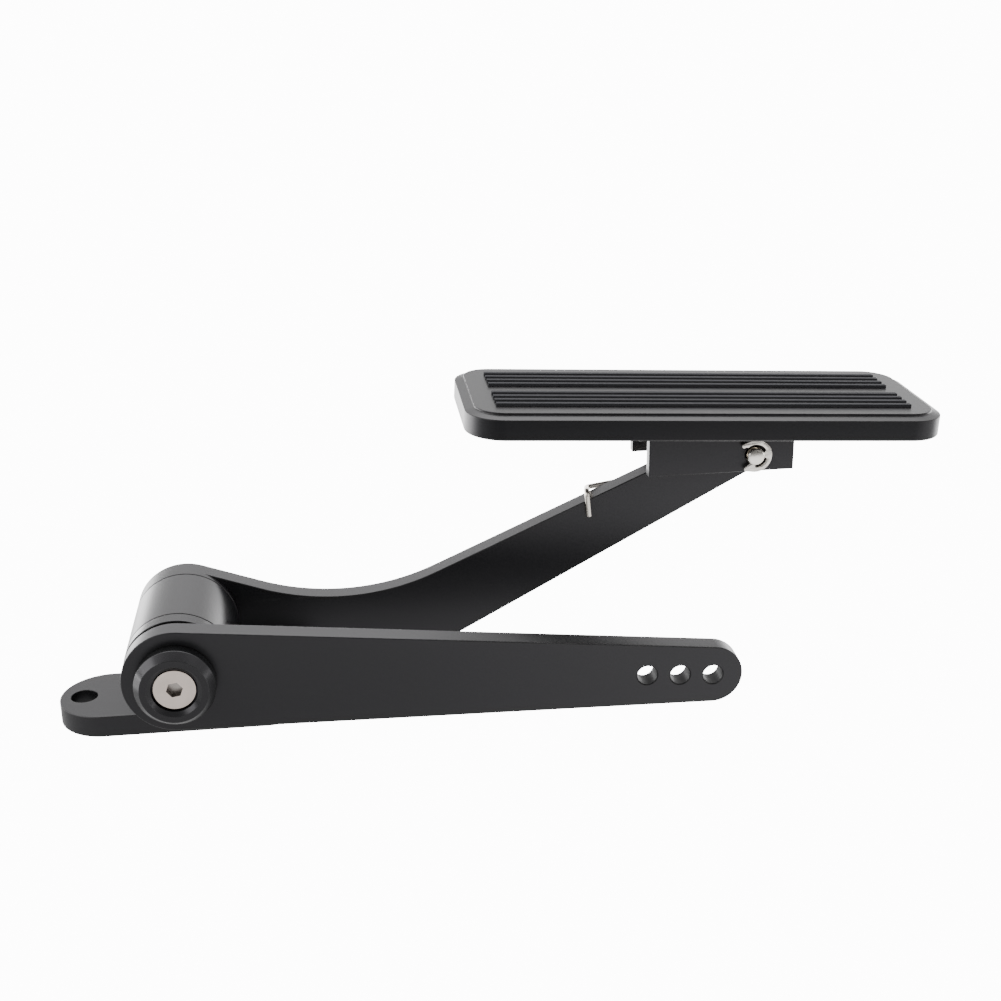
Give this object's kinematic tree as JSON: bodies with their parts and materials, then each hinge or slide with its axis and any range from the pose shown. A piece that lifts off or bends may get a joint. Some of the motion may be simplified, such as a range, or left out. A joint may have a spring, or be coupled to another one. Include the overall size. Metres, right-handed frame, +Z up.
{
  "type": "accelerator pedal",
  "caption": "Floor-mounted accelerator pedal: base bracket with pivot barrel, tapered throttle arm with cable holes, and cranked arm with a ribbed, sprung, swivelling foot pad.",
  "frame": {"origin": "middle of the base bracket's underside, its mounting face", "axes": "+X from the pivot towards the foot pad, +Y from the throttle arm towards the pedal arm, +Z up, square to the mounting face"},
  "size_m": [0.2592, 0.0774, 0.0881],
  "materials": {
    "black_anodised": "satin black anodised",
    "nickel_plated": "nickel plated",
    "plain_steel": "ground",
    "spring_wire": "drawn wire",
    "bearing_bronze": "machined"
  },
  "bodies": {
    "base": {"base_bracket": "black_anodised", "bushing_front": "bearing_bronze", "bushing_rear": "bearing_bronze"},
    "lever": {"pivot_shaft": "plain_steel", "spacer_ring": "black_anodised", "thrust_washer": "bearing_bronze", "throttle_arm": "black_anodised", "cap_washer_front": "black_anodised", "cap_screw_front": "nickel_plated", "pedal_arm": "black_anodised", "cap_washer_rear": "black_anodised", "cap_screw_rear": "nickel_plated", "pad_spring": "spring_wire"},
    "pad": {"pad_plate": "black_anodised", "pad_bracket": "black_anodised", "bracket_screw_left": "plain_steel", "bracket_screw_right": "plain_steel", "pad_pin": "plain_steel", "pin_clip_front": "plain_steel", "pin_clip_rear": "plain_steel", "pin_washer": "plain_steel", "pin_sleeve": "plain_steel"}
  },
  "joints": [
    {"name": "pedal_pivot", "type": "hinge", "parent": "base", "child": "lever", "pos_m": [0, 0, 0.02215], "axis": [0, 1, 0], "range_deg": [-45, 0]},
    {"name": "pad_pivot", "type": "hinge", "parent": "lever", "child": "pad", "pos_m": [0.1697, 0.019, 0.06645], "axis": [0, 1, 0], "range_deg": [-20, 0], "stiffness_Nm_per_rad": 0.3, "springref_deg": 20.05, "deforming": ["pad_spring"]}
  ]
}
